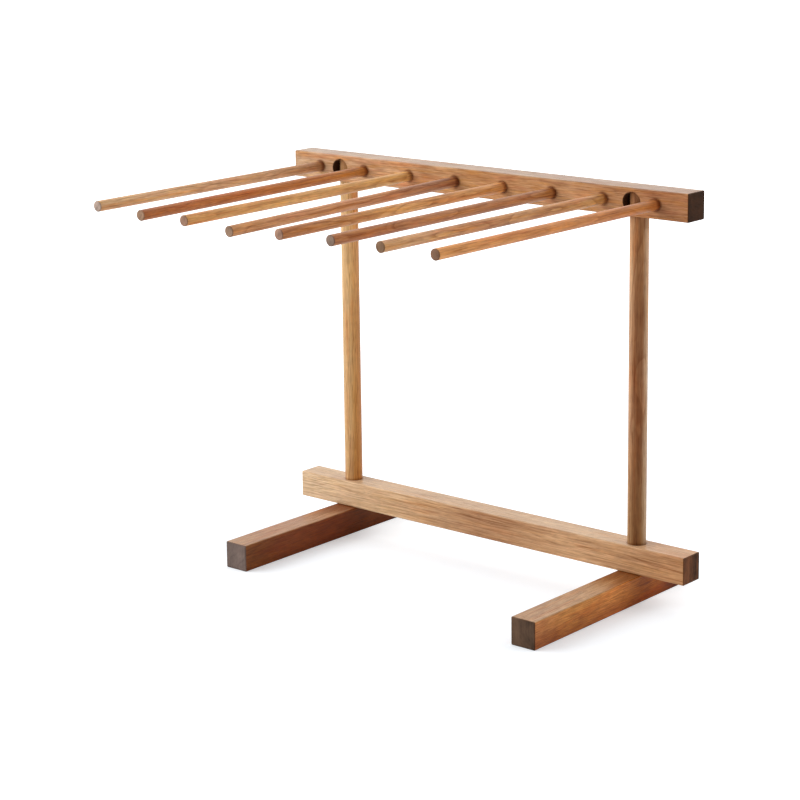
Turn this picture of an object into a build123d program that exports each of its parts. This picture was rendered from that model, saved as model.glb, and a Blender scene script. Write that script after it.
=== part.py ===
"""Pasta drying rack of oiled hardwood: two turning feet, a base bar, two posts and a lift-off hanger.

Millimetres. +X runs along the bars, -Y is where the arms point, +Z is up. The origin is the middle of
the rack's footprint, on the surface that it stands on.
"""

import os
from build123d import *

# Square stock of the feet, the base bar and the hanger bar: its long edges are rounded
# before it is cut to length, and the cut ends are eased with a small chamfer
stock = 22.2
bar_length = 400.0
edge_round = 0.9
end_chamfer = 0.6

# Posts
post_diameter = 15.0
post_rise = 262.2
post_socket_depth = 14.0
post_end_chamfer = 0.8

# Hanger bar's sockets for the posts: from below for use, from the front, and looser, for storage
hanger_socket_depth = 19.5
storage_hole_depth = 19.5
socket_gap = 0.1
storage_gap = 0.4
mouth_chamfer = 0.4

# Arms: the row starts this far from the bars' ends, and the posts stand this far inside it
arm_diameter = 8.5
arm_reach = 258.8
arm_inset = 29.5
arm_to_post = 22.0
arm_socket_depth = 14.0
arm_end_chamfer = 0.6

# How many degrees each arm leans to the right and upwards, as drilled by hand, left to right
arm_leans = (
    (1.0, 0.15),
    (0.7, -0.35),
    (0.15, -0.2),
    (-0.35, -0.9),
    (-0.15, -0.2),
    (0.0, 0.0),
    (-0.6, 0.1),
    (-0.6, 0.15),
)

# Pivot under each post: screw, washer and the foot's counterbore
screw_diameter = 5.0
screw_point = 4.0
screw_bite = 24.0
head_diameter = 9.6
head_height = 3.4
head_chamfer = 1.0
drive_width = 3.0
drive_depth = 2.0
washer_diameter = 13.0
washer_thickness = 1.2
counterbore_depth = 8.2

# Clearances and the overrun of the cuts
glue_gap = 0.05
pivot_gap = 0.08
washer_gap = 0.5
fold_gap = 0.5
overrun = 1.0

# Places worked out from the sizes above
half_stock = stock / 2
post_radius = post_diameter / 2
arm_radius = arm_diameter / 2
screw_radius = screw_diameter / 2
first_arm_x = arm_inset - bar_length / 2
arm_pitch = -2 * first_arm_x / (len(arm_leans) - 1)
post_reach = -first_arm_x - arm_to_post
foot_front = post_reach - fold_gap
foot_back = bar_length / 2 - post_reach
bar_y = (half_stock + arm_reach - foot_back) / 2
front_y = bar_y - half_stock
base_bottom = stock
base_top = base_bottom + stock
hanger_bottom = base_top + post_rise
hanger_middle = hanger_bottom + half_stock
post_bottom = base_top - post_socket_depth
post_length = post_socket_depth + post_rise + hanger_socket_depth
screw_top = post_bottom + screw_bite
sides = {"left": -post_reach, "right": post_reach}
post_places = [(x, bar_y) for x in sides.values()]

# The bars' cross-section stands on this plane at their left ends
bar_end_plane = Plane(origin=(-bar_length / 2, bar_y, 0), x_dir=(0, 1, 0), z_dir=(1, 0, 0))

os.makedirs("parts", exist_ok=True)


def save(piece, name):
    """Label a finished piece and write it as its own file."""
    piece.label = name
    export_step(piece, f"parts/{name}.step")


# Base bar, with a blind socket for each post and a hole below it for the pivot screw
with BuildPart() as base_bar:
    with BuildSketch(bar_end_plane):
        with Locations((0, base_bottom + half_stock)):
            Rectangle(stock, stock)
    extrude(amount=bar_length)
    fillet(base_bar.edges().filter_by(Axis.X), radius=edge_round)
    chamfer(base_bar.faces().filter_by(Axis.X).edges(), length=end_chamfer)
    with BuildSketch(Plane.XY.offset(post_bottom)):
        with Locations(*post_places):
            Circle(post_radius + glue_gap)
    extrude(amount=post_socket_depth + overrun, mode=Mode.SUBTRACT)
    with BuildSketch(Plane.XY.offset(base_bottom - overrun)):
        with Locations(*post_places):
            Circle(screw_radius + glue_gap)
    extrude(amount=stock, mode=Mode.SUBTRACT)
save(base_bar.part, "base_bar")


# Hanger bar: blind sockets from below and from the front cross each other at each post,
# and a row of smaller sockets in the front face holds the arms
arm_planes = []
for number, (lean_right, lean_up) in enumerate(arm_leans):
    root = (first_arm_x + arm_pitch * number, front_y, hanger_middle)
    square = Plane(origin=root, x_dir=(1, 0, 0), z_dir=(0, -1, 0))
    arm_planes.append(square.rotated((-lean_up, 0, lean_right)))

with BuildPart() as hanger_bar:
    with BuildSketch(bar_end_plane):
        with Locations((0, hanger_middle)):
            Rectangle(stock, stock)
    extrude(amount=bar_length)
    fillet(hanger_bar.edges().filter_by(Axis.X), radius=edge_round)
    chamfer(hanger_bar.faces().filter_by(Axis.X).edges(), length=end_chamfer)
    with BuildSketch(Plane.XY.offset(hanger_bottom - overrun)):
        with Locations(*post_places):
            Circle(post_radius + socket_gap)
    extrude(amount=overrun + hanger_socket_depth, mode=Mode.SUBTRACT)
    with BuildSketch(Plane.XZ.offset(overrun - front_y)):
        with Locations(*[(x, hanger_middle) for x in sides.values()]):
            Circle(post_radius + storage_gap)
    extrude(amount=-overrun - storage_hole_depth, mode=Mode.SUBTRACT)
    rims = hanger_bar.edges().filter_by(lambda edge: edge.geom_type == GeomType.CIRCLE
                                        and edge.radius > post_radius)
    chamfer(rims.group_by(Axis.Z)[0] + rims.group_by(Axis.Y)[0], length=mouth_chamfer)
    for arm_plane in arm_planes:
        with BuildSketch(arm_plane.offset(overrun)):
            Circle(arm_radius + glue_gap)
        extrude(amount=-overrun - arm_socket_depth, mode=Mode.SUBTRACT)
save(hanger_bar.part, "hanger_bar")


# Arms: dowels with eased ends, one on each socket's own axis
for number, arm_plane in enumerate(arm_planes, start=1):
    with BuildPart() as arm:
        with BuildSketch(arm_plane.offset(-arm_socket_depth)):
            Circle(arm_radius)
        extrude(amount=arm_socket_depth + arm_reach)
        chamfer(arm.edges().filter_by(GeomType.CIRCLE), length=arm_end_chamfer)
    save(arm.part, f"arm_{number}")


# Each side has a post, a foot that turns under the base bar, and the pivot that holds it
for side, post_x in sides.items():
    axis_place = (post_x, bar_y)

    with BuildPart() as post:
        with BuildSketch(Plane.XY.offset(post_bottom)):
            with Locations(axis_place):
                Circle(post_radius)
        extrude(amount=post_length)
        chamfer(post.edges().filter_by(GeomType.CIRCLE), length=post_end_chamfer)
        with BuildSketch(Plane.XY.offset(post_bottom - overrun)):
            with Locations(axis_place):
                Circle(screw_radius + glue_gap)
        extrude(amount=overrun + screw_bite + screw_point, mode=Mode.SUBTRACT)
    save(post.part, f"post_{side}")

    with BuildPart() as foot:
        with BuildSketch(Plane.XY):
            with Locations((post_x, bar_y + (foot_back - foot_front) / 2)):
                Rectangle(stock, foot_front + foot_back)
        extrude(amount=stock)
        fillet(foot.edges().filter_by(Axis.Y), radius=edge_round)
        chamfer(foot.faces().filter_by(Axis.Y).edges(), length=end_chamfer)
        with Locations(Plane(origin=(post_x, bar_y, 0), z_dir=(0, 0, -1))):
            CounterBoreHole(
                radius=screw_radius + pivot_gap,
                counter_bore_radius=washer_diameter / 2 + washer_gap,
                counter_bore_depth=counterbore_depth,
            )
    save(foot.part, f"foot_{side}")

    with BuildPart() as washer:
        with BuildSketch(Plane.XY.offset(counterbore_depth)):
            with Locations(axis_place):
                Circle(washer_diameter / 2)
                Circle(screw_radius + glue_gap, mode=Mode.SUBTRACT)
        extrude(amount=-washer_thickness)
    save(washer.part, f"pivot_washer_{side}")

    head_seat = counterbore_depth - washer_thickness
    head_bottom = head_seat - head_height
    with BuildPart() as screw:
        with BuildSketch(Plane.XZ.offset(-bar_y)):
            with BuildLine():
                shank_x = post_x + screw_radius
                head_x = post_x + head_diameter / 2
                Polyline(
                    (post_x, head_bottom),
                    (head_x - head_chamfer, head_bottom),
                    (head_x, head_bottom + head_chamfer),
                    (head_x, head_seat),
                    (shank_x, head_seat),
                    (shank_x, screw_top),
                    (post_x, screw_top + screw_point),
                    close=True,
                )
            make_face()
        revolve(axis=Axis((post_x, bar_y, 0), (0, 0, 1)))
        with BuildSketch(Plane.XY.offset(head_bottom - overrun)):
            with Locations(axis_place):
                RegularPolygon(drive_width / 2, 6, major_radius=False)
        extrude(amount=overrun + drive_depth, mode=Mode.SUBTRACT)
    save(screw.part, f"pivot_screw_{side}")
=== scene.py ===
"""Looks of the pasta drying rack: oiled hardwood, zinc-plated pivots, a white studio floor and a camera."""
import bpy
from math import radians
from mathutils import Euler, Matrix, Vector


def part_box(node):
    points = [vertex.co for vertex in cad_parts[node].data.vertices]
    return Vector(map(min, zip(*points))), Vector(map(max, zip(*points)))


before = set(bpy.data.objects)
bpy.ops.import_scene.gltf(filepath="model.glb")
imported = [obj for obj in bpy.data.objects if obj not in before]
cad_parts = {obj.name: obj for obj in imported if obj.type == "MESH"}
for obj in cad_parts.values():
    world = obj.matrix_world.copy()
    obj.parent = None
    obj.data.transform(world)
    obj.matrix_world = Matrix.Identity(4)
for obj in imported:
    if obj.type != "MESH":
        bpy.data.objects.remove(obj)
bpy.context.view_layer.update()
MM = 0.001
WHITE = (1, 1, 1, 1)
BRIGHTEST = 255


def srgb(colour):
    """A display colour from 0 to 255 as the linear one that Blender uses, by the sRGB curve."""
    linear = []
    for value in colour:
        share = value / BRIGHTEST
        linear.append(share / 12.92 if share <= 0.04045 else ((share + 0.055) / 1.055) ** 2.4)
    return (*linear, 1.0)


class Nodes:
    """A node tree that starts empty, with a short call for each kind of node that the looks use."""

    def __init__(self, tree):
        self.tree = tree
        tree.nodes.clear()

    def add(self, kind, inputs=None, **settings):
        node = self.tree.nodes.new(kind)
        for key, value in settings.items():
            setattr(node, key, value)
        for key, value in (inputs or {}).items():
            self.put(node.inputs[key], value)
        return node

    def put(self, socket, value):
        if isinstance(value, bpy.types.NodeSocket):
            self.tree.links.new(value, socket)
        else:
            socket.default_value = value

    def math(self, operation, first, second=0.0, third=0.0, clamp=False):
        node = self.add("ShaderNodeMath", {0: first, 1: second, 2: third},
                        operation=operation, use_clamp=clamp)
        return node.outputs[0]

    def vector(self, operation, first, second=(0, 0, 0), output=0):
        node = self.add("ShaderNodeVectorMath", {0: first}, operation=operation)
        if operation != "LENGTH":
            self.put(node.inputs[1], second)
        return node.outputs[output]

    def length(self, vector):
        return self.vector("LENGTH", vector, output="Value")

    def dot(self, first, second):
        return self.vector("DOT_PRODUCT", first, second, output="Value")

    def parts(self, vector):
        """The three parts of a vector."""
        return self.add("ShaderNodeSeparateXYZ", {0: vector}).outputs

    def smooth(self, value, low, high, start=0.0, end=1.0):
        """A soft step from start to end as the value goes from low to high."""
        node = self.add("ShaderNodeMapRange", {"Value": value, "From Min": low, "From Max": high,
                                               "To Min": start, "To Max": end})
        node.interpolation_type = "SMOOTHSTEP"
        return node.outputs["Result"]

    def noise(self, vector, detail=2.0, roughness=0.5, distortion=0.0, output="Fac"):
        node = self.add("ShaderNodeTexNoise", {"Vector": vector, "Scale": 1.0, "Detail": detail,
                                               "Roughness": roughness, "Distortion": distortion})
        return node.outputs[output]

    def scaled_noise(self, vector, scale, *settings):
        """Noise over a vector times a scale for each direction."""
        return self.noise(self.vector("MULTIPLY", vector, scale), *settings)

    def cells(self, vector):
        """A Voronoi texture's outputs: Distance, and a Color that is one for each cell."""
        return self.add("ShaderNodeTexVoronoi", {"Vector": vector, "Scale": 1.0}).outputs

    def ramp(self, factor, stops, interpolation="LINEAR"):
        """A colour ramp; each stop is a place from 0 to 1 and a colour."""
        node = self.add("ShaderNodeValToRGB", {"Fac": factor})
        ramp = node.color_ramp
        ramp.interpolation = interpolation
        while len(ramp.elements) < len(stops):
            ramp.elements.new(0.5)
        for element, (place, colour) in zip(ramp.elements, stops):
            element.position = place
            element.color = colour
        return node.outputs["Color"]

    def grey_ramp(self, factor, stops):
        return self.ramp(factor, [(place, (grey, grey, grey, 1.0)) for place, grey in stops])

    def mix(self, factor, first, second, blend="MIX"):
        """Two colours mixed. The node takes them at its inputs 6 and 7 and gives the result at output 2."""
        node = self.add("ShaderNodeMix", {0: factor, 6: first, 7: second},
                        data_type="RGBA", blend_type=blend)
        return node.outputs[2]

    def tint(self, factor, colour, tint):
        return self.mix(factor, colour, tint, "MULTIPLY")

    def show(self, shader, output="ShaderNodeOutputMaterial"):
        """Link a shader to the tree's output."""
        self.tree.links.new(shader.outputs[0], self.add(output).inputs["Surface"])


def new_material(name):
    """A material, and its empty node tree."""
    material = bpy.data.materials.new(name)
    material.use_nodes = True
    return material, Nodes(material.node_tree)


END_DEPTH = 1.2 * MM


def centre_line(node):
    """The two ends of a straight piece's centre line, read from its corners within END_DEPTH of each end."""
    corners = [vertex.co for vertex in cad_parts[node].data.vertices]
    low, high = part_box(node)
    size = high - low
    axis = max(range(3), key=lambda index: size[index])
    ends = []
    for place in (low[axis], high[axis]):
        ring = [corner for corner in corners if abs(corner[axis] - place) < END_DEPTH]
        ends.append(sum(ring, Vector()) / len(ring))
    return ends


def half_length(node):
    """Half the length of a straight piece, in mm."""
    start, end = centre_line(node)
    return (end - start).length / MM / 2


# Noise in the wood: length along the grain and width across it in mm, detail, roughness and distortion
FIBRES = (22, 0.5, 2.0, 0.6)
CLOUDS = (95, 12)
REDS = (70, 7)
GOLDS = (38, 2.6, 2.0, 0.55, 0.3)
LINES = (42, 0.8)
PATCHES = (60, 8, 1.0)
FLECKS = (15, 0.5, 2.0, 0.55)
SHIMMER = (9, 4.5, 2.0, 0.55, 0.6)
WORN_SPOTS = (24, 6)
POLISHED_SPOTS = (40, 9)
BROAD_SETTINGS = (3.0, 0.62, 0.4)
NOISE_MIDDLE = 0.5

# The noise at which each pattern starts to show, and at which it shows in full
RED_RANGE = (0.52, 0.72)
GOLD_RANGE = (0.50, 0.66)
ROSE_RANGE = (0.48, 0.32)
LINE_RANGE = (0.54, 0.68)
PATCH_RANGE = (0.40, 0.58)
FLECK_RANGE = (0.34, 0.66)
SHIMMER_RANGE = (0.3, 0.7)
WORN_RANGE = (0.35, 0.7)
POLISHED_RANGE = (0.55, 0.8)

# Noise on the end grain: scales along the piece and across it, detail and roughness
SPECKLE = ((0.2, 1.5, 1.5), 3.0, 0.7)
BLOTS = ((0.05, 0.13, 0.13), 2.0, 0.5)
UPRIGHT_LINES = ((0.02, 0.5, 0.04), 2.0, 0.6)

# End grain: how nearly a surface faces along the piece where it starts and where it is all end grain, the
# speckle's weight, the blots' level that changes nothing, the palest and darkest of it beside its named
# colour, and, in half widths across it, where one side's tone turns to the other's and the outline starts
END_FACING = (0.35, 0.8)
SPECKLE_WEIGHT = 0.45
BLOT_LEVEL = 0.3
PALEST_END = 1.25
DARKEST_END = 0.62
SIDE_RANGE = (-0.5, 0.7)
OUTLINE_START = 0.8

# Pores: length and width in mm, and the share of the cells that hold one. A pore's shape says where it
# ends and where it is full, from its cell's middle, and the softness is that of the choice of cells
SHORT_PORES = (11.0, 0.6, 0.45)
LONG_PORES = (30.0, 0.95, 0.22)
PORE_SHAPE = (0.36, 0.14)
PORE_SOFTNESS = 0.05

# Growth rings: how far they bend and over which length and width, in mm, the bend's detail and roughness,
# how dark a year is from its start to its end, and the darkness that leaves the wood's tone as it is
BEND = 22
BEND_LENGTH = 110
BEND_WIDTH = 30
BEND_SETTINGS = (2.0, 0.55)
YEAR = [(0.0, 0.15), (0.45, 0.1), (0.86, 0.9), (0.94, 1.0), (1.0, 0.2)]
RING_MEAN = 0.3

# The weakest year, and how much stronger the strongest is
LEAST_YEAR = 0.2
YEAR_SPREAD = 0.8

# Weights of the patterns that darken the wood, the sum that is halfway from early to late wood, and how far
# below and above it the wood is all early or all late
STREAK_WEIGHT = 1.15
CLOUD_WEIGHT = 0.5
FIBRE_WEIGHT = 0.5
DARK_MIDDLE = 1.13
DARK_REACH = 0.40

# How nearly a surface faces the side with painted light where its tint starts and is full, and how much the
# clouds bend the edge of the painted shade, in half widths, and the fade, in lengths of the piece
PAINTED_LIGHT_FACING = (0.55, 1.0)
SHADE_SIDE_WAVE = 0.5
FADE_WAVE = 0.3

# Tints, as linear colours
EARLY_WOOD = (1.22, 1.25, 1.28, 1)
LATE_WOOD = (0.68, 0.55, 0.46, 1)
RED_CLOUD = (1.04, 0.86, 0.72, 1)
GOLD_STREAK = (1.08, 1.0, 0.80, 1)
ROSE_STREAK = (0.99, 0.88, 0.88, 1)
BRIGHT_SHIMMER = (1.06, 1.05, 1.04, 1)
DULL_SHIMMER = (0.94, 0.94, 0.95, 1)
DARK_LINE = (0.46, 0.32, 0.24, 1)
PORE = (0.44, 0.31, 0.23, 1)
END_OUTLINE = (0.42, 0.36, 0.32, 1)
# Painted shade round the joints, where a dowel enters its bar
JOINT_SHADE = (0.46, 0.33, 0.26, 1)
# Wear with a painted highlight on the edges
WORN_EDGE_AND_HIGHLIGHT = (1.24, 1.27, 1.30, 1)
END_RIM = (0.62, 0.56, 0.52, 1)
SHINE = (0.4, 0.25, 0.18, 1)

# How much a fleck of fine grain lightens or darkens red, green and blue
FLECK_LIGHT = (0.08, 0.09, 0.10)
FLECK_DARK = (0.10, 0.14, 0.17)

# How far a seed moves the noise, along the piece and across it, in mm, and how steeply a piece has to stand
# to count as upright
SEED_STEP = (31.7, 17.3, 23.9)
UPRIGHT = 0.7

# Wear with a painted highlight on the edges, and rims: how far in from a corner, or from an end, they start
# and are full, in mm, and how much
EDGE_DEPTHS = (1.4, 0.3)
LEAST_WEAR = 0.4
WEAR_SPREAD = 0.6
RIM_DEPTHS = (1.1, 0.3)
RIM_SHARE = 0.35

# Painted shade rings round the joints: how far off its face a ring ends and is full, in mm, and how much of
# it the clouds leave and add
RING_DEPTHS = (4, 2)
LEAST_RING = 0.6
RING_SPREAD = 0.6

# Gloss and relief: the plain roughness, what each pattern adds to it and to the height, and the bump
ROUGHNESS = 0.22
ROUGHER = {"fibres": 0.16, "pores": 0.18, "edge": -0.08, "end": 0.4}
HIGHER = {"fibres": 0.6, "pores": -0.8, "late": -0.2, "speckle": 0.9}
BUMP_STRENGTH = 0.3
BUMP_DEPTH = 0.2 * MM
WOOD_IOR = 1.5


class Wood:
    """Oiled open-pored hardwood, grained along one piece: x runs along it, y and z across it, in mm."""

    def __init__(self, node, spec):
        self.spec = spec
        start, end = centre_line(node)
        along = (end - start).normalized()
        up = Vector((0, 0, 1)) if abs(along.z) < UPRIGHT else Vector((0, 1, 0))
        self.along = along
        self.side = up.cross(along).normalized()
        self.half_length = half_length(node)
        self.half_width = spec["width"] / 2
        self.material, self.nodes = new_material(f"wood_{node}")
        nodes = self.nodes
        coordinates = nodes.add("ShaderNodeTexCoord")
        self.place = coordinates.outputs["Object"]
        self.normal = coordinates.outputs["Normal"]
        turned = Matrix((along, self.side, along.cross(self.side))).transposed().to_euler()
        mapping = nodes.add("ShaderNodeMapping", {"Vector": self.place, "Location": (start + end) / 2,
                                                  "Rotation": turned, "Scale": (MM, MM, MM)},
                            vector_type="TEXTURE")
        local = mapping.outputs[0]
        self.x, self.y, self.z = nodes.parts(local)
        self.across = nodes.vector("MULTIPLY", local, (0, 1, 1))
        self.run = nodes.math("MULTIPLY_ADD", self.x, 0.5 / self.half_length, 0.5)
        self.shifted = nodes.vector("ADD", local, tuple(spec["seed"] * step for step in SEED_STEP))
        self.late = self.late_wood()
        self.fibres = self.stretched(*FIBRES)
        self.clouds = self.stretched(*CLOUDS)
        self.pores = nodes.math("MAXIMUM", self.dashes(*SHORT_PORES), self.dashes(*LONG_PORES))
        self.speckle = self.scaled(*SPECKLE)
        facing = nodes.math("ABSOLUTE", nodes.dot(self.normal, tuple(along)))
        self.is_end = nodes.smooth(facing, *END_FACING)
        self.edge = self.worn_and_highlit_edges()
        self.connect()

    def scaled(self, scale, *settings):
        """Noise in the piece, with a scale for each direction."""
        return self.nodes.scaled_noise(self.shifted, scale, *settings)

    def stretched(self, length, width, *settings):
        """Noise with grains of this length and width."""
        return self.scaled((1 / length, 1 / width, 1 / width), *settings)

    def dashes(self, length, width, share):
        """Thin dashes along the grain, in a share of all the cells."""
        nodes = self.nodes
        cells = nodes.cells(nodes.vector("MULTIPLY", self.shifted, (1 / length, 1 / width, 1 / width)))
        chosen = nodes.smooth(nodes.parts(cells["Color"])[0], 1 - share, 1 - share + PORE_SOFTNESS)
        return nodes.math("MULTIPLY", nodes.smooth(cells["Distance"], *PORE_SHAPE), chosen)

    def late_wood(self):
        """Growth rings round a pith that lies outside the piece, bent a little along the length."""
        nodes = self.nodes
        bend = nodes.vector("MULTIPLY", self.shifted, (1 / BEND_LENGTH, 1 / BEND_WIDTH, 1 / BEND_WIDTH))
        bend = nodes.noise(bend, *BEND_SETTINGS, output="Color")
        bend = nodes.vector("SUBTRACT", bend, (NOISE_MIDDLE,) * 3)
        bend = nodes.vector("MULTIPLY", bend, (0, BEND, BEND))
        from_pith = nodes.vector("SUBTRACT", self.across, (0, *self.spec["pith"]))
        years = nodes.math("DIVIDE", nodes.length(nodes.vector("ADD", from_pith, bend)), self.spec["ring"])
        number = nodes.math("FLOOR", years)
        strength = nodes.add("ShaderNodeTexWhiteNoise", {"W": number}, noise_dimensions="1D")
        strength = nodes.math("MULTIPLY_ADD", strength.outputs["Value"], YEAR_SPREAD, LEAST_YEAR)
        return nodes.math("MULTIPLY", nodes.grey_ramp(nodes.math("FRACT", years), YEAR), strength)

    def worn_and_highlit_edges(self):
        """Where the long edges of a bar, or spots of a dowel, are burnished, with a painted highlight on
        them.
        """
        nodes = self.nodes
        if self.spec["square"]:
            depth = nodes.math("MINIMUM", nodes.math("ABSOLUTE", self.y), nodes.math("ABSOLUTE", self.z))
            edge = nodes.smooth(depth, *(self.half_width - inset for inset in EDGE_DEPTHS))
            spots = nodes.smooth(self.stretched(*WORN_SPOTS), *WORN_RANGE)
            edge = nodes.math("MULTIPLY", edge, nodes.math("MULTIPLY_ADD", spots, WEAR_SPREAD, LEAST_WEAR))
        else:
            edge = nodes.smooth(self.stretched(*POLISHED_SPOTS), *POLISHED_RANGE)
        return nodes.math("MULTIPLY", edge, nodes.math("SUBTRACT", 1.0, self.is_end))

    def towards(self, direction):
        """How far across the piece, from -1 to 1 at its surface, in a direction given as (y, z)."""
        nodes = self.nodes
        y, z = direction
        upwards = nodes.math("MULTIPLY", self.z, z / self.half_width)
        return nodes.math("MULTIPLY_ADD", self.y, y / self.half_width, upwards)

    def wave(self):
        """The clouds, from -0.5 to 0.5, to bend an edge with."""
        return self.nodes.math("SUBTRACT", self.clouds, NOISE_MIDDLE)

    def base_colour(self):
        """The piece's tones along its length, with painted light on one side, painted shade towards another
        and a painted sheen.
        """
        nodes, spec, tones = self.nodes, self.spec, self.spec["tones"]
        stops = [(place / (len(tones) - 1), srgb(tone)) for place, tone in enumerate(tones)]
        base = nodes.ramp(self.run, stops, "EASE")
        # Painted light: a tint on the side that looks towards -y
        if "painted_light_side" in spec:
            painted_light_side = nodes.dot(self.normal, tuple(-self.side))
            base = nodes.tint(nodes.smooth(painted_light_side, *PAINTED_LIGHT_FACING), base, (*spec["painted_light_side"], 1))
        # Painted shade: a darker tint that grows towards one side
        if "shade_side" in spec:
            shade_side = spec["shade_side"]
            inward = nodes.math("MULTIPLY_ADD", self.wave(), SHADE_SIDE_WAVE, self.towards(shade_side["side"]))
            base = nodes.tint(nodes.smooth(inward, shade_side["start"], 1.0), base, (*shade_side["tint"], 1))
        # Painted sheen and highlight: a paler colour over the outer part of a side, faded out along the
        # piece
        if "painted_sheen" in spec:
            painted_sheen = spec["painted_sheen"]
            fade_start, fade_end = painted_sheen["fade"]
            here = nodes.math("MULTIPLY_ADD", self.wave(), FADE_WAVE, self.run)
            here = nodes.smooth(here, fade_end, fade_start)
            here = nodes.math("MULTIPLY", here, nodes.smooth(self.towards(painted_sheen["side"]), painted_sheen["start"], 1.0))
            base = nodes.mix(nodes.math("MULTIPLY", here, painted_sheen["share"]), base, srgb(painted_sheen["colour"]))
        return base

    def grain_colour(self):
        """The base colour with its rings, streaks, clouds, dark lines and pores."""
        nodes, spec = self.nodes, self.spec
        dark = nodes.math("MULTIPLY", nodes.math("SUBTRACT", self.late, RING_MEAN), spec["rings"])
        broad = self.stretched(*spec["grain"], *BROAD_SETTINGS)
        dark = nodes.math("MULTIPLY_ADD", broad, STREAK_WEIGHT, dark)
        dark = nodes.math("MULTIPLY_ADD", self.clouds, CLOUD_WEIGHT, dark)
        dark = nodes.math("MULTIPLY_ADD", self.fibres, FIBRE_WEIGHT, dark)
        reach = DARK_REACH / spec["contrast"]
        dark = nodes.smooth(dark, DARK_MIDDLE - reach, DARK_MIDDLE + reach)
        colour = nodes.tint(1.0, self.base_colour(), nodes.mix(dark, EARLY_WOOD, LATE_WOOD))
        reds = nodes.smooth(self.stretched(*REDS), *RED_RANGE, end=spec["reds"])
        colour = nodes.tint(reds, colour, RED_CLOUD)
        golds = self.stretched(*GOLDS)
        colour = nodes.tint(nodes.smooth(golds, *GOLD_RANGE, end=spec["golds"]), colour, GOLD_STREAK)
        colour = nodes.tint(nodes.smooth(golds, *ROSE_RANGE, end=spec["golds"]), colour, ROSE_STREAK)
        light = [1 + share * spec["fine"] for share in FLECK_LIGHT]
        heavy = [1 - share * spec["fine"] for share in FLECK_DARK]
        flecks = nodes.smooth(self.stretched(*FLECKS), *FLECK_RANGE)
        colour = nodes.tint(1.0, colour, nodes.mix(flecks, (*light, 1), (*heavy, 1)))
        shimmer = nodes.smooth(self.stretched(*SHIMMER), *SHIMMER_RANGE)
        colour = nodes.tint(1.0, colour, nodes.mix(shimmer, BRIGHT_SHIMMER, DULL_SHIMMER))
        lines = nodes.smooth(self.stretched(*LINES), *LINE_RANGE)
        lines = nodes.math("MULTIPLY", lines, nodes.smooth(self.stretched(*PATCHES), *PATCH_RANGE))
        colour = nodes.tint(nodes.math("MULTIPLY", lines, spec["streaks"]), colour, DARK_LINE)
        return nodes.tint(nodes.math("MULTIPLY", self.pores, spec["pores"]), colour, PORE)

    def end_colour(self):
        """End grain drinks more oil: darker, greyer, with the rings and pores seen from their ends."""
        nodes, spec = self.nodes, self.spec
        dark = nodes.math("MULTIPLY", self.speckle, SPECKLE_WEIGHT)
        dark = nodes.math("MULTIPLY_ADD", self.late, spec["end_rings"], dark)
        blots = nodes.math("SUBTRACT", self.scaled(*BLOTS), BLOT_LEVEL)
        dark = nodes.math("MULTIPLY_ADD", blots, spec["blots"], dark, clamp=True)
        if "end_lines" in spec:
            stripes, lean = spec["end_lines"]
            upright = nodes.math("SUBTRACT", self.scaled(*UPRIGHT_LINES), NOISE_MIDDLE)
            aside = nodes.smooth(self.y, *(share * self.half_width for share in SIDE_RANGE))
            dark = nodes.math("MULTIPLY_ADD", upright, stripes, dark)
            dark = nodes.math("MULTIPLY_ADD", nodes.math("SUBTRACT", aside, 0.5), lean, dark, clamp=True)
        pale_end = srgb([min(BRIGHTEST, value * PALEST_END) for value in spec["end"]])
        dark_end = srgb([value * DARKEST_END for value in spec["end"]])
        colour = nodes.mix(dark, pale_end, dark_end)
        if spec["square"]:
            outward = nodes.math("MAXIMUM", nodes.math("ABSOLUTE", self.y), nodes.math("ABSOLUTE", self.z))
        else:
            outward = nodes.length(self.across)
        outline = nodes.smooth(outward, OUTLINE_START * self.half_width, self.half_width,
                               end=spec["outline"])
        return nodes.tint(outline, colour, END_OUTLINE)

    def ring_stain(self):
        """A ring of painted shade on one face of a bar, round each dowel that enters it, from the dowel's
        radius outwards.
        """
        nodes, ring = self.nodes, self.spec["ring_stain"]
        nearest = 1.0
        for name in ring["dowels"]:
            start, end = centre_line(name)
            from_start = nodes.vector("SUBTRACT", self.place, tuple(start))
            away = nodes.length(nodes.vector("CROSS_PRODUCT", from_start, tuple((end - start).normalized())))
            nearest = nodes.math("MINIMUM", away, nearest)
        stain = nodes.smooth(nearest, (ring["radius"] + ring["spread"]) * MM, ring["radius"] * MM)
        level = nodes.math("SUBTRACT", nodes.parts(self.place)[ring["axis"]], ring["face"])
        near = nodes.smooth(nodes.math("ABSOLUTE", level), *(depth * MM for depth in RING_DEPTHS))
        uneven = nodes.math("MULTIPLY_ADD", self.clouds, RING_SPREAD, LEAST_RING)
        return nodes.math("MULTIPLY", nodes.math("MULTIPLY", stain, near), uneven, clamp=True)

    def root_shade(self, place, spread, share):
        """A dowel's root: painted shade from a place along it onwards, or up to it if the spread is
        negative.
        """
        return self.nodes.math("MULTIPLY", self.nodes.smooth(self.x, place - spread, place), share)

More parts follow.
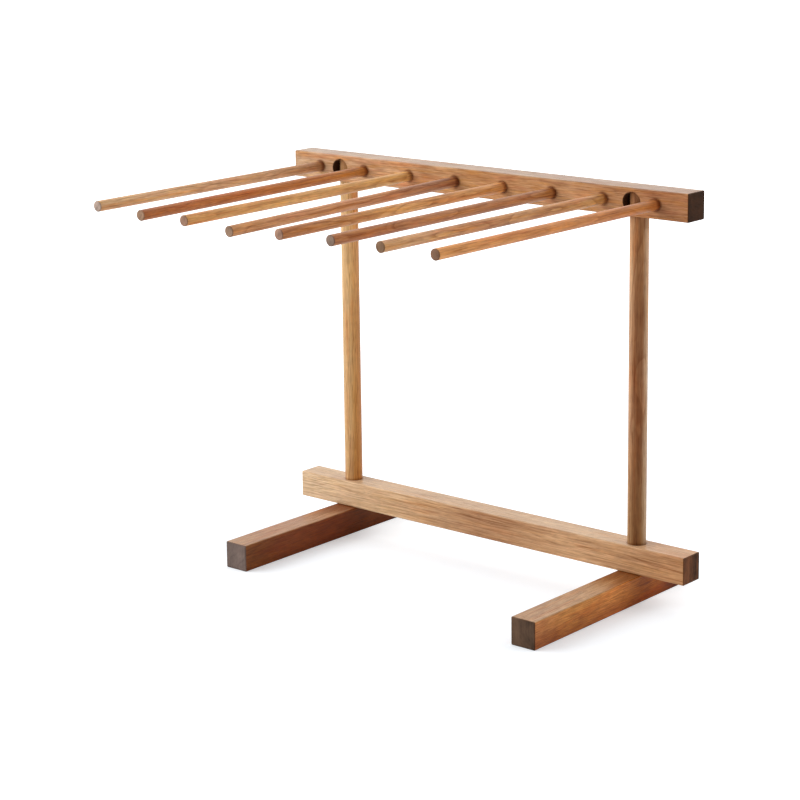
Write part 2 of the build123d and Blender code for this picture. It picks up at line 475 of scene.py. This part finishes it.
    def connect(self):
        """The whole material: colour, roughness and bump."""
        nodes, spec = self.nodes, self.spec
        colour = nodes.mix(self.is_end, self.grain_colour(), self.end_colour())
        # Painted shade round the joints: rings on the bars' faces and darker dowel roots
        if "ring_stain" in spec:
            colour = nodes.tint(self.ring_stain(), colour, JOINT_SHADE)
        for place, spread, share in spec["root_shades"]:
            colour = nodes.tint(self.root_shade(place, spread, share), colour, JOINT_SHADE)
        # Wear with a painted highlight on the edges, and on spots of the dowels
        colour = nodes.tint(nodes.math("MULTIPLY", self.edge, spec["wear_and_highlight"]), colour, WORN_EDGE_AND_HIGHLIGHT)
        from_end = nodes.math("SUBTRACT", self.half_length, nodes.math("ABSOLUTE", self.x))
        rim = nodes.math("MULTIPLY", nodes.smooth(from_end, *RIM_DEPTHS), RIM_SHARE)
        colour = nodes.tint(rim, colour, END_RIM)
        rough = nodes.math("MULTIPLY_ADD", self.fibres, ROUGHER["fibres"], ROUGHNESS)
        rough = nodes.math("MULTIPLY_ADD", self.pores, ROUGHER["pores"], rough)
        rough = nodes.math("MULTIPLY_ADD", self.edge, ROUGHER["edge"], rough)
        rough = nodes.math("MULTIPLY_ADD", self.is_end, ROUGHER["end"], rough)
        height = nodes.math("MULTIPLY", self.fibres, HIGHER["fibres"])
        height = nodes.math("MULTIPLY_ADD", self.pores, HIGHER["pores"], height)
        height = nodes.math("MULTIPLY_ADD", self.late, HIGHER["late"], height)
        end_speckle = nodes.math("MULTIPLY", self.speckle, self.is_end)
        height = nodes.math("MULTIPLY_ADD", end_speckle, HIGHER["speckle"], height)
        bump = nodes.add("ShaderNodeBump", {"Strength": BUMP_STRENGTH, "Distance": BUMP_DEPTH,
                                            "Height": height})
        nodes.show(nodes.add("ShaderNodeBsdfPrincipled", {
            "Base Color": colour, "Roughness": rough, "Normal": bump.outputs[0], "IOR": WOOD_IOR,
            "Specular Tint": SHINE}))


# Zinc: its pale, dull and scratched colours, how far a seed moves its noise, in mm, and each noise's scale
# per mm, over the radius for turning marks and else in x, y and z, with its detail and roughness. Shares say
# how much of the spangle and the scratches shows, and gloss and relief are named as for the wood
PALE_ZINC = srgb((196, 198, 200))
DULL_ZINC = srgb((150, 152, 150))
SCRATCHED_ZINC = srgb((225, 226, 226))
ZINC_SEED_STEP = (11.3, 7.1, 5.7)
TURNING_SCALE = 9.0
TURNING_SETTINGS = (2.0, 0.6)
DULL_PATCHES = ((0.45, 0.45, 0.45), 3.0, 0.6)
SPANGLE_SCALE = (1.4, 1.4, 1.4)
SCRATCHES = ((0.5, 12, 2), 1.0, 0.5)
SCRATCH_RANGE = (0.66, 0.72)
SPANGLE_SHARE = 0.12
SCRATCH_SHARE = 0.4
ZINC_ROUGHNESS = 0.22
ZINC_ROUGHER = {"turning": 0.12, "patches": 0.22}
ZINC_HIGHER = {"turning": 0.6, "scratches": -0.6}
ZINC_BUMP_DEPTH = 0.08 * MM


def zinc(node, seed):
    """Zinc-plated steel: a cool grey spangle, dull patches, fine turning marks and small scratches."""
    low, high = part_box(node)
    material, nodes = new_material(f"zinc_{node}")
    place = nodes.add("ShaderNodeTexCoord").outputs["Object"]
    mapping = nodes.add("ShaderNodeMapping", {"Vector": place, "Location": (low + high) / 2,
                                              "Scale": (MM, MM, MM)}, vector_type="TEXTURE")
    local = mapping.outputs[0]
    shifted = nodes.vector("ADD", local, tuple(seed * step for step in ZINC_SEED_STEP))
    radius = nodes.length(nodes.vector("MULTIPLY", local, (1, 1, 0)))
    turns = nodes.math("MULTIPLY", radius, TURNING_SCALE)
    rings = nodes.add("ShaderNodeCombineXYZ", {0: turns, 1: seed, 2: 0.0})
    turning = nodes.noise(rings.outputs[0], *TURNING_SETTINGS)
    patches = nodes.scaled_noise(shifted, *DULL_PATCHES)
    spangle = nodes.cells(nodes.vector("MULTIPLY", shifted, SPANGLE_SCALE))["Color"]
    scratches = nodes.smooth(nodes.scaled_noise(shifted, *SCRATCHES), *SCRATCH_RANGE)
    colour = nodes.mix(patches, PALE_ZINC, DULL_ZINC)
    colour = nodes.mix(SPANGLE_SHARE, colour, spangle, "SOFT_LIGHT")
    colour = nodes.mix(nodes.math("MULTIPLY", scratches, SCRATCH_SHARE), colour, SCRATCHED_ZINC)
    rough = nodes.math("MULTIPLY_ADD", turning, ZINC_ROUGHER["turning"], ZINC_ROUGHNESS)
    rough = nodes.math("MULTIPLY_ADD", patches, ZINC_ROUGHER["patches"], rough)
    height = nodes.math("MULTIPLY", scratches, ZINC_HIGHER["scratches"])
    height = nodes.math("MULTIPLY_ADD", turning, ZINC_HIGHER["turning"], height)
    bump = nodes.add("ShaderNodeBump", {"Strength": BUMP_STRENGTH, "Distance": ZINC_BUMP_DEPTH,
                                        "Height": height})
    nodes.show(nodes.add("ShaderNodeBsdfPrincipled", {
        "Base Color": colour, "Metallic": 1.0, "Roughness": rough, "Normal": bump.outputs[0]}))
    return material


def dress(node, material):
    """Give a carried-over piece its finished material."""
    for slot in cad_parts[node].material_slots:
        slot.link = "OBJECT"
        slot.material = material


# What sets the pieces' woods apart. Lengths are in mm, and a side is a direction across the piece as (y, z):
# y is the world's +Y in a bar, -X in a foot or an arm and +X in a post, and z is up, or +Y in a post.
# tones: display colours along it, a bar's from the left, a foot's from the front, a post's from the bottom
# and an arm's from the tip; end: display colour of its end grain
# width: its thickness; square: whether it is a bar; outline: how dark the end grain's outline is
# seed: where in the noise it is cut; pith: the growth rings' middle, as (y, z); ring: a year's width
# grain: length and width of its broad streaks; contrast: how crisp they are; rings: how much the years show
# reds, golds, fine, streaks, pores: strength of red clouds, gold streaks, flecks, dark lines and pores
# wear_and_highlight: how pale its worn edges are, wear and a painted highlight together; end_rings, blots:
# how much the rings and blots show on the end grain
# end_lines: strength of upright lines on the end grain, and how much darker its +y side is
# painted_light_side: painted light, a tint of the side that looks towards -y; shade_side: painted shade, a
# tint that grows towards a side, from its start
# painted_sheen: painted sheen and highlight, a colour laid over the outer part of a side, which ends over
# the fade, two places along the piece
# ring_stain and root_shades: painted shade where a dowel enters its bar
COMMON = {"square": False, "contrast": 1.0, "grain": (60, 1.7), "rings": 0.42, "reds": 1.0, "golds": 1.1,
          "fine": 1.0, "streaks": 0.5, "pores": 0.45, "wear_and_highlight": 0.2, "end_rings": 0.22, "blots": 1.2,
          "outline": 0.42, "root_shades": []}
BAR = {**COMMON, "width": 22.2, "square": True, "outline": 0.28, "ring": 2.6}
FOOT = {**BAR, "ring": 2.8, "golds": 0.3}
POST = {**COMMON, "width": 15.0, "ring": 2.4}
ARM = {**COMMON, "width": 8.5, "ring": 2.0, "fine": 1.6}
TOP = (0.0, 1.0)
NO_FADE = (2.0, 3.0)
WOODS = {
    "base_bar": {**BAR, "seed": 1.0, "pith": (-46, 60), "end": (104, 65, 41),
                 "tones": [(222, 195, 160), (216, 181, 142), (175, 132, 96), (209, 168, 127),
                           (197, 151, 109)],
                 "grain": (34, 1.0), "rings": 0.3, "reds": 0.5, "golds": 0.35, "fine": 1.15, "streaks": 0.4,
                 "pores": 0.35, "end_rings": 0.3, "end_lines": (2.4, 0.5),
                 "painted_sheen": {"side": TOP, "start": 0.9, "share": 0.8, "fade": (0.75, 1.05),
                          "colour": (202, 173, 138)}},
    "hanger_bar": {**BAR, "seed": 2.0, "pith": (40, 66), "end": (66, 41, 25),
                   "tones": [(197, 163, 129), (198, 157, 119), (189, 142, 97), (189, 145, 106),
                             (173, 123, 85)],
                   "grain": (20, 1.7), "contrast": 1.05, "rings": 0.15, "golds": 1.2, "fine": 1.6,
                   "streaks": 0.4, "wear_and_highlight": 0.04,
                   "painted_sheen": {"side": TOP, "start": 0.9, "share": 0.6, "fade": NO_FADE,
                            "colour": (173, 155, 135)}},
    # The feet's last tones, next to the base bar, are darker: painted shade of the bar on them
    "foot_left": {**FOOT, "seed": 3.0, "pith": (58, 30), "end": (117, 103, 97),
                  "tones": [(129, 78, 30), (132, 69, 25), (124, 58, 11), (113, 56, 2), (92, 38, 2)],
                  "grain": (17, 1.3), "contrast": 0.85, "rings": 0.2, "fine": 1.2, "blots": 0.7,
                  "end_lines": (0.5, 0.2),
                  "shade_side": {"side": (-1.0, -0.3), "start": -0.2, "tint": (0.85, 0.75, 0.7)},
                  "painted_sheen": {"side": TOP, "start": 0.9, "share": 0.40, "fade": (0.50, 0.65),
                           "colour": (220, 184, 142)}},
    "foot_right": {**FOOT, "seed": 4.0, "pith": (-60, 34), "end": (95, 75, 60),
                   "tones": [(131, 83, 46), (138, 91, 43), (150, 97, 49), (127, 71, 19), (71, 26, 2)],
                   "grain": (10, 1.25), "contrast": 0.95, "rings": 0.15, "fine": 1.7, "streaks": 0.3,
                   "blots": 0.8, "end_lines": (0.9, -0.3), "painted_light_side": (2.19, 2.22, 2.04),
                   "shade_side": {"side": (0.0, -1.0), "start": -0.6, "tint": (0.72, 0.56, 0.48)},
                   "painted_sheen": {"side": TOP, "start": 0.9, "share": 0.62, "fade": (0.42, 0.64),
                            "colour": (196, 162, 122)}},
    "post_left": {**POST, "seed": 5.0, "pith": (30, 22), "end": (120, 96, 78),
                  "tones": [(208, 156, 89), (222, 180, 118), (232, 189, 128)],
                  "contrast": 0.75, "rings": 0.25, "golds": 0.5, "pores": 0.65, "painted_light_side": (0.76, 0.84, 1.05),
                  "shade_side": {"side": (0.98, 0.2), "start": 0.3, "tint": (0.85, 0.70, 0.65)},
                  "painted_sheen": {"side": (-0.1, -1.0), "start": 0.45, "share": 0.3, "fade": NO_FADE,
                           "colour": (204, 184, 156)}},
    "post_right": {**POST, "seed": 6.0, "pith": (-26, 24), "end": (110, 84, 66),
                   "tones": [(176, 139, 94), (203, 160, 122), (230, 191, 146)],
                   "contrast": 0.7, "golds": 0.3,
                   "shade_side": {"side": (0.58, -0.81), "start": 0.35, "tint": (0.50, 0.37, 0.29)},
                   "painted_sheen": {"side": (1.0, 0.3), "start": 0.62, "share": 0.42, "fade": NO_FADE,
                            "colour": (204, 184, 156)}},
    "arm_1": {**ARM, "seed": 7.7, "pith": (15, 16), "end": (198, 176, 162),
              "tones": [(219, 182, 138), (210, 165, 122), (177, 130, 89)]},
    "arm_2": {**ARM, "seed": 9.4, "pith": (18, 12), "end": (172, 139, 114), "contrast": 0.85,
              "tones": [(175, 110, 66), (187, 118, 63), (186, 124, 63)]},
    "arm_3": {**ARM, "seed": 11.1, "pith": (21, 8), "end": (178, 140, 117), "contrast": 0.7,
              "tones": [(221, 170, 108), (216, 167, 106), (223, 176, 111)]},
    "arm_4": {**ARM, "seed": 12.8, "pith": (24, 4), "end": (176, 145, 122),
              "tones": [(197, 145, 101), (199, 143, 100), (156, 105, 69)]},
    "arm_5": {**ARM, "seed": 14.5, "pith": (27, 0), "end": (193, 153, 131),
              "tones": [(183, 123, 75), (215, 160, 100), (209, 150, 92)]},
    "arm_6": {**ARM, "seed": 16.2, "pith": (30, -4), "end": (162, 138, 122),
              "tones": [(178, 121, 77), (181, 125, 82), (171, 115, 66)]},
    "arm_7": {**ARM, "seed": 17.9, "pith": (33, -8), "end": (152, 120, 94),
              "tones": [(207, 164, 119), (198, 150, 104), (207, 157, 100)]},
    "arm_8": {**ARM, "seed": 19.6, "pith": (36, -12), "end": (139, 106, 85), "contrast": 0.65,
              "tones": [(226, 162, 98), (212, 145, 88), (187, 123, 69)]},
}

# Painted shade at the dowels' roots, in mm. The sockets' depths are the ones in the CAD. An arm's painted
# shade is full a little out of its socket and a post's a little into the hanger's, or at the base bar's face
ARM_SOCKET = 14.0
POST_SOCKET = 14.0
HANGER_SOCKET = 19.5
ARM_ROOT_OUT = 0.8
ARM_ROOT_SPREAD = 4.6
ARM_ROOT_SHARE = 0.9
HANGER_ROOT_IN = 4.0
HANGER_ROOT_SPREAD = 7.0
HANGER_ROOT_SHARES = (0.8, 0.7)
BASE_ROOT_SPREAD = 2.5
BASE_ROOT_SHARE = 0.5

# Painted shade round the dowels on a bar's face, which lies at a place along a world axis, in metres
ARMS = [name for name in WOODS if name.startswith("arm_")]
POSTS = ["post_left", "post_right"]
WOODS["hanger_bar"]["ring_stain"] = {"dowels": ARMS, "radius": ARM["width"] / 2, "spread": 2.5,
                                     "axis": 1, "face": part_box("hanger_bar")[0].y}
WOODS["base_bar"]["ring_stain"] = {"dowels": POSTS, "radius": POST["width"] / 2, "spread": 1.4,
                                   "axis": 2, "face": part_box("base_bar")[1].z}
for name in ARMS:
    out_of_bar = half_length(name) - ARM_SOCKET - ARM_ROOT_OUT
    WOODS[name]["root_shades"] = [(out_of_bar, ARM_ROOT_SPREAD, ARM_ROOT_SHARE)]
for name, share in zip(POSTS, HANGER_ROOT_SHARES):
    in_hanger = half_length(name) - HANGER_SOCKET + HANGER_ROOT_IN
    in_base = POST_SOCKET - half_length(name)
    WOODS[name]["root_shades"] = [(in_hanger, HANGER_ROOT_SPREAD, share),
                                  (in_base, -BASE_ROOT_SPREAD, BASE_ROOT_SHARE)]

for name, spec in WOODS.items():
    dress(name, Wood(name, spec).material)

for number, side in enumerate(("left", "right")):
    dress(f"pivot_screw_{side}", zinc(f"pivot_screw_{side}", 1.0 + number))
    dress(f"pivot_washer_{side}", zinc(f"pivot_washer_{side}", 3.5 + number))


# Floor: its size, the distances from the rack over which it gets far, and the same behind the rack, all in
# metres, its glow near the rack, the painted light added behind it, which lifts the rack's shadow out there,
# and the glow added far from it, its colour to the camera, and to the light its greys with their noise's
# scale, detail and roughness
FLOOR_SIZE = 40
FAR_RANGE = (0.45, 1.4)
PAINTED_LIGHT_BEHIND = (0.08, 0.13)
GLOW = {"near": 0.31, "behind": 0.24, "far": 0.65}
FLOOR_COLOUR = (0.76, 0.80, 0.84, 1)
FLOOR_GREYS = [(0.0, 0.78), (1.0, 0.82)]
MOTTLE = ((3, 3, 3), 3.0, 0.6)


def floor_material():
    """Floor: white to the camera, with the rack's own soft shadow on it save behind the rack, where painted
    light lifts it out, and matt paper to the light.
    """
    material, nodes = new_material("studio_floor")
    place = nodes.add("ShaderNodeTexCoord").outputs["Object"]
    far = nodes.smooth(nodes.length(place), *FAR_RANGE)
    mottle = nodes.grey_ramp(nodes.scaled_noise(place, *MOTTLE), FLOOR_GREYS)
    matt = nodes.add("ShaderNodeBsdfDiffuse", {"Color": mottle})
    # Painted light: more glow behind the rack, which lifts out the rack's shadow there
    behind = nodes.smooth(nodes.parts(place)[1], *PAINTED_LIGHT_BEHIND)
    strength = nodes.math("MULTIPLY_ADD", behind, GLOW["behind"], GLOW["near"])
    strength = nodes.math("MULTIPLY_ADD", far, GLOW["far"], strength)
    glow = nodes.add("ShaderNodeEmission", {"Color": WHITE, "Strength": strength})
    seen = nodes.add("ShaderNodeBsdfDiffuse", {"Color": FLOOR_COLOUR})
    bright = nodes.add("ShaderNodeAddShader", {0: seen.outputs[0], 1: glow.outputs[0]})
    to_camera = nodes.add("ShaderNodeLightPath").outputs["Is Camera Ray"]
    nodes.show(nodes.add("ShaderNodeMixShader", {0: to_camera, 1: matt.outputs[0], 2: bright.outputs[0]}))
    return material


bpy.ops.mesh.primitive_plane_add(size=FLOOR_SIZE)
floor = bpy.context.object
floor.name = "floor"
floor.data.materials.append(floor_material())


# World: the backdrop's direction, how nearly a ray points there where the backdrop starts and is full, and
# how bright the room is and how much the backdrop adds, in reflections and as light
BACKDROP = (-0.6, 0.8, 0.0)
BACKDROP_RANGE = (-0.1, 0.55)
MIRRORED_ROOM = 0.1
MIRRORED_BACKDROP = 0.9
ROOM_LIGHT = 0.2
BACKDROP_LIGHT = 0.65


def studio_world():
    """World: a white backdrop behind the rack shows in its oil; the studio's front and right are dim."""
    world = bpy.data.worlds.new("studio")
    world.use_nodes = True
    nodes = Nodes(world.node_tree)
    direction = nodes.add("ShaderNodeTexCoord").outputs["Generated"]
    behind = nodes.smooth(nodes.dot(direction, BACKDROP), *BACKDROP_RANGE)
    path = nodes.add("ShaderNodeLightPath").outputs
    bounced = nodes.math("MAXIMUM", path["Is Glossy Ray"], path["Is Transmission Ray"])
    mirrored = nodes.math("MULTIPLY_ADD", behind, MIRRORED_BACKDROP, MIRRORED_ROOM)
    strength = nodes.math("MAXIMUM", path["Is Camera Ray"], nodes.math("MULTIPLY", bounced, mirrored))
    seen = nodes.add("ShaderNodeBackground", {"Color": WHITE, "Strength": strength})
    strength = nodes.math("MULTIPLY_ADD", behind, BACKDROP_LIGHT, ROOM_LIGHT)
    fill = nodes.add("ShaderNodeBackground", {"Color": WHITE, "Strength": strength})
    both = nodes.add("ShaderNodeMixShader", {0: path["Is Diffuse Ray"], 1: seen.outputs[0],
                                             2: fill.outputs[0]})
    nodes.show(both, "ShaderNodeOutputWorld")
    return world


bpy.context.scene.world = studio_world()


def lamp(name, place, target, size, power, mirrored=True):
    """A square soft box that faces a point of the rack; mirrored says whether it shows in its gloss."""
    data = bpy.data.lights.new(name, "AREA")
    data.shape = "SQUARE"
    data.size = size
    data.energy = power
    lamp_object = bpy.data.objects.new(name, data)
    bpy.context.scene.collection.objects.link(lamp_object)
    lamp_object.location = place
    facing = Vector(target) - Vector(place)
    lamp_object.rotation_euler = facing.to_track_quat("-Z", "Y").to_euler()
    lamp_object.visible_glossy = mirrored


lamp("key_light", place=(-1.5, -1.2, 1.4), target=(0, 0.1, 0.15), size=1.8, power=44)
lamp("top_light", place=(0.2, -0.3, 2.1), target=(0, 0.05, 0.15), size=2.4, power=12)
lamp("side_light", place=(1.1, 0.6, 0.7), target=(0.1, 0.05, 0.15), size=0.8, power=4.5, mirrored=False)

# Camera at the photograph's viewing angle: its place in metres and its turn about x, y and z in degrees
CAMERA_PLACE = (1.14088, -1.33836, 0.60626)
CAMERA_TURN = (78.2168, 0.7121, 40.3047)
camera_data = bpy.data.cameras.new("camera")
camera_data.sensor_width = 36
camera_data.lens = 104.12
camera_data.shift_y = -0.125
camera_data.clip_start = 0.05
camera_data.clip_end = 60
camera = bpy.data.objects.new("camera", camera_data)
bpy.context.scene.collection.objects.link(camera)
turn = Euler([radians(angle) for angle in CAMERA_TURN]).to_matrix()
camera.matrix_world = Matrix.Translation(CAMERA_PLACE) @ turn.to_4x4()
bpy.context.scene.camera = camera
bpy.context.scene.view_settings.view_transform = "Standard"
